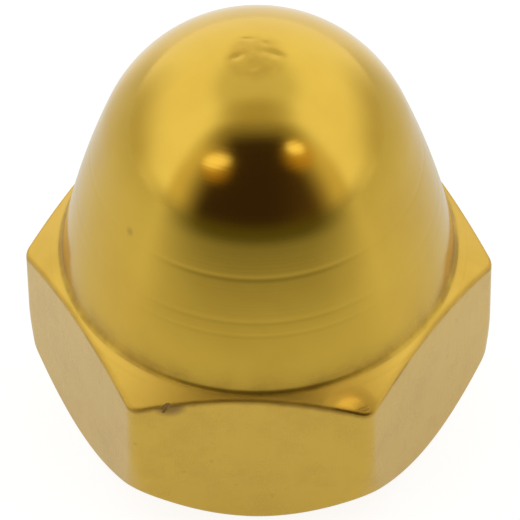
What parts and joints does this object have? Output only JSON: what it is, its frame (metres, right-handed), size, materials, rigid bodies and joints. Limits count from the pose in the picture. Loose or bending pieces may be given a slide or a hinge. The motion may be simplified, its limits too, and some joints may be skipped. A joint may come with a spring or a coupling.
{
  "type": "cap nut",
  "caption": "Brass hexagon cap nut with a tall rounded dome over a blind threaded hole; it fastens on a bolt and covers the bolt's end.",
  "frame": {"origin": "centre of the bearing face, on the axis of the threaded hole", "axes": "+Z along the thread's axis, from the bearing face to the top of the dome; +X towards a corner of the hexagon, +Y square to a flat"},
  "size_m": [0.015, 0.013, 0.015],
  "materials": {
    "brass": "polished dome, satin flats"
  },
  "bodies": {
    "root": {"cap_nut": "brass"}
  },
  "joints": []
}
